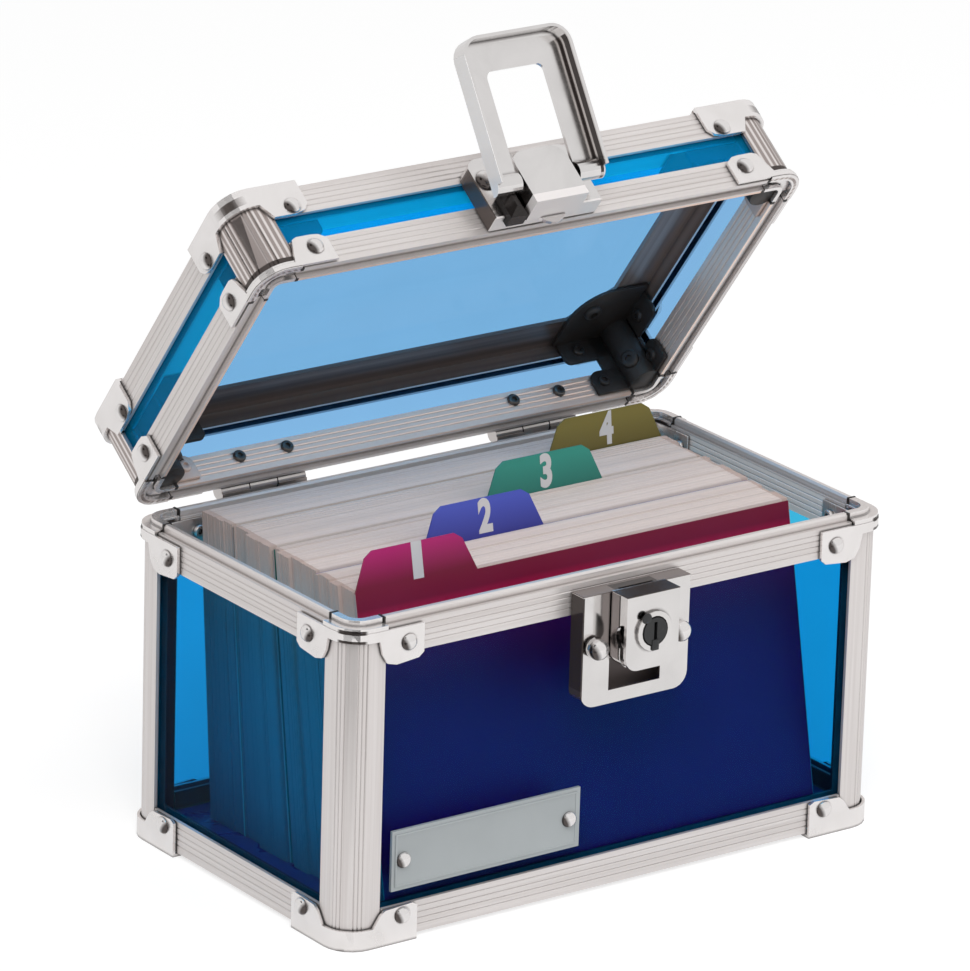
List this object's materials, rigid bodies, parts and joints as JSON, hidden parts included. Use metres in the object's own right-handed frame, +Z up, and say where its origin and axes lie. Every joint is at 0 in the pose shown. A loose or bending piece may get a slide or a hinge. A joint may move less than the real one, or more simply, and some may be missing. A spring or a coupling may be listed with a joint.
{
  "type": "lockable index card box",
  "caption": "Lockable index card box with tinted plastic panels in a grooved aluminium frame, riveted steel corner caps, a hinged lid, a hasp and key lock, and tabbed card dividers.",
  "frame": {"origin": "centre of the bottom panel's underside; the corner caps' floors reach 1.1 mm lower", "axes": "+Z up, -Y toward the lock side, +X to the right as the lock side is seen from the front"},
  "size_m": [0.1608, 0.1226, 0.1987],
  "materials": {
    "aluminium": "brushed, fine lengthwise grooves",
    "steel": "polished plated sheet",
    "hinge_steel": "dull",
    "blue_plastic": "translucent gloss",
    "plate_grey": "satin, bare",
    "black_plug": "matte",
    "divider_magenta": "matte card",
    "divider_blue": "matte card",
    "divider_green": "matte card",
    "divider_olive": "matte card",
    "card": "matte paper"
  },
  "bodies": {
    "box": {"post_front_left": "aluminium", "post_front_right": "aluminium", "post_rear_right": "aluminium", "post_rear_left": "aluminium", "bottom_rail_front": "aluminium", "bottom_rail_right": "aluminium", "bottom_rail_rear": "aluminium", "bottom_rail_left": "aluminium", "rim_rail_front": "aluminium", "rim_rail_right": "aluminium", "rim_rail_rear": "aluminium", "rim_rail_left": "aluminium", "panel_front": "blue_plastic", "panel_right": "blue_plastic", "panel_rear": "blue_plastic", "panel_left": "blue_plastic", "panel_bottom": "blue_plastic", "foot_cap_front_left": "steel", "foot_cap_front_right": "steel", "foot_cap_rear_right": "steel", "foot_cap_rear_left": "steel", "top_cap_front_left": "steel", "top_cap_front_right": "steel", "top_cap_rear_right": "steel", "top_cap_rear_left": "steel", "name_plate": "plate_grey", "lock_base": "steel", "hinge_box_leaf_left": "hinge_steel", "hinge_box_leaf_right": "hinge_steel", "divider_1": "divider_magenta", "divider_2": "divider_blue", "divider_3": "divider_green", "divider_4": "divider_olive", "card_pack_1": "card", "card_pack_2": "card", "card_pack_3": "card", "card_pack_4": "card"},
    "lid": {"lid_corner_front_left": "steel", "lid_corner_front_right": "steel", "lid_corner_rear_right": "steel", "lid_corner_rear_left": "steel", "lid_rim_rail_front": "aluminium", "lid_rim_rail_right": "aluminium", "lid_rim_rail_rear": "aluminium", "lid_rim_rail_left": "aluminium", "lid_top_rail_front": "aluminium", "lid_top_rail_right": "aluminium", "lid_top_rail_rear": "aluminium", "lid_top_rail_left": "aluminium", "lid_strip_front": "blue_plastic", "lid_strip_right": "blue_plastic", "lid_strip_rear": "blue_plastic", "lid_strip_left": "blue_plastic", "lid_top_panel": "blue_plastic", "hinge_lid_leaf_left": "hinge_steel", "hinge_lid_leaf_right": "hinge_steel", "latch_base": "steel"},
    "hasp": {"hasp_loop": "steel"},
    "lock_slider": {"lock_housing": "steel"},
    "plug": {"key_plug": "black_plug"}
  },
  "joints": [
    {"name": "lid_hinge", "type": "hinge", "parent": "box", "child": "lid", "pos_m": [0, 0.0476, 0.0798], "axis": [-1, 0, 0], "range_deg": [-53.5, 42]},
    {"name": "hasp_hinge", "type": "hinge", "parent": "lid", "child": "hasp", "pos_m": [0, -0.00913, 0.16521], "axis": [-1, 0, 0], "range_deg": [-158, 0]},
    {"name": "lock_slide", "type": "slide", "parent": "box", "child": "lock_slider", "axis": [0, 0, -1], "range_m": [0, 0.005], "stiffness_N_per_m": 400, "springref_m": -0.001},
    {"name": "key_turn", "type": "hinge", "parent": "lock_slider", "child": "plug", "pos_m": [0, -0.0576, 0.0676], "axis": [0, 1, 0], "range_deg": [0, 90]}
  ]
}
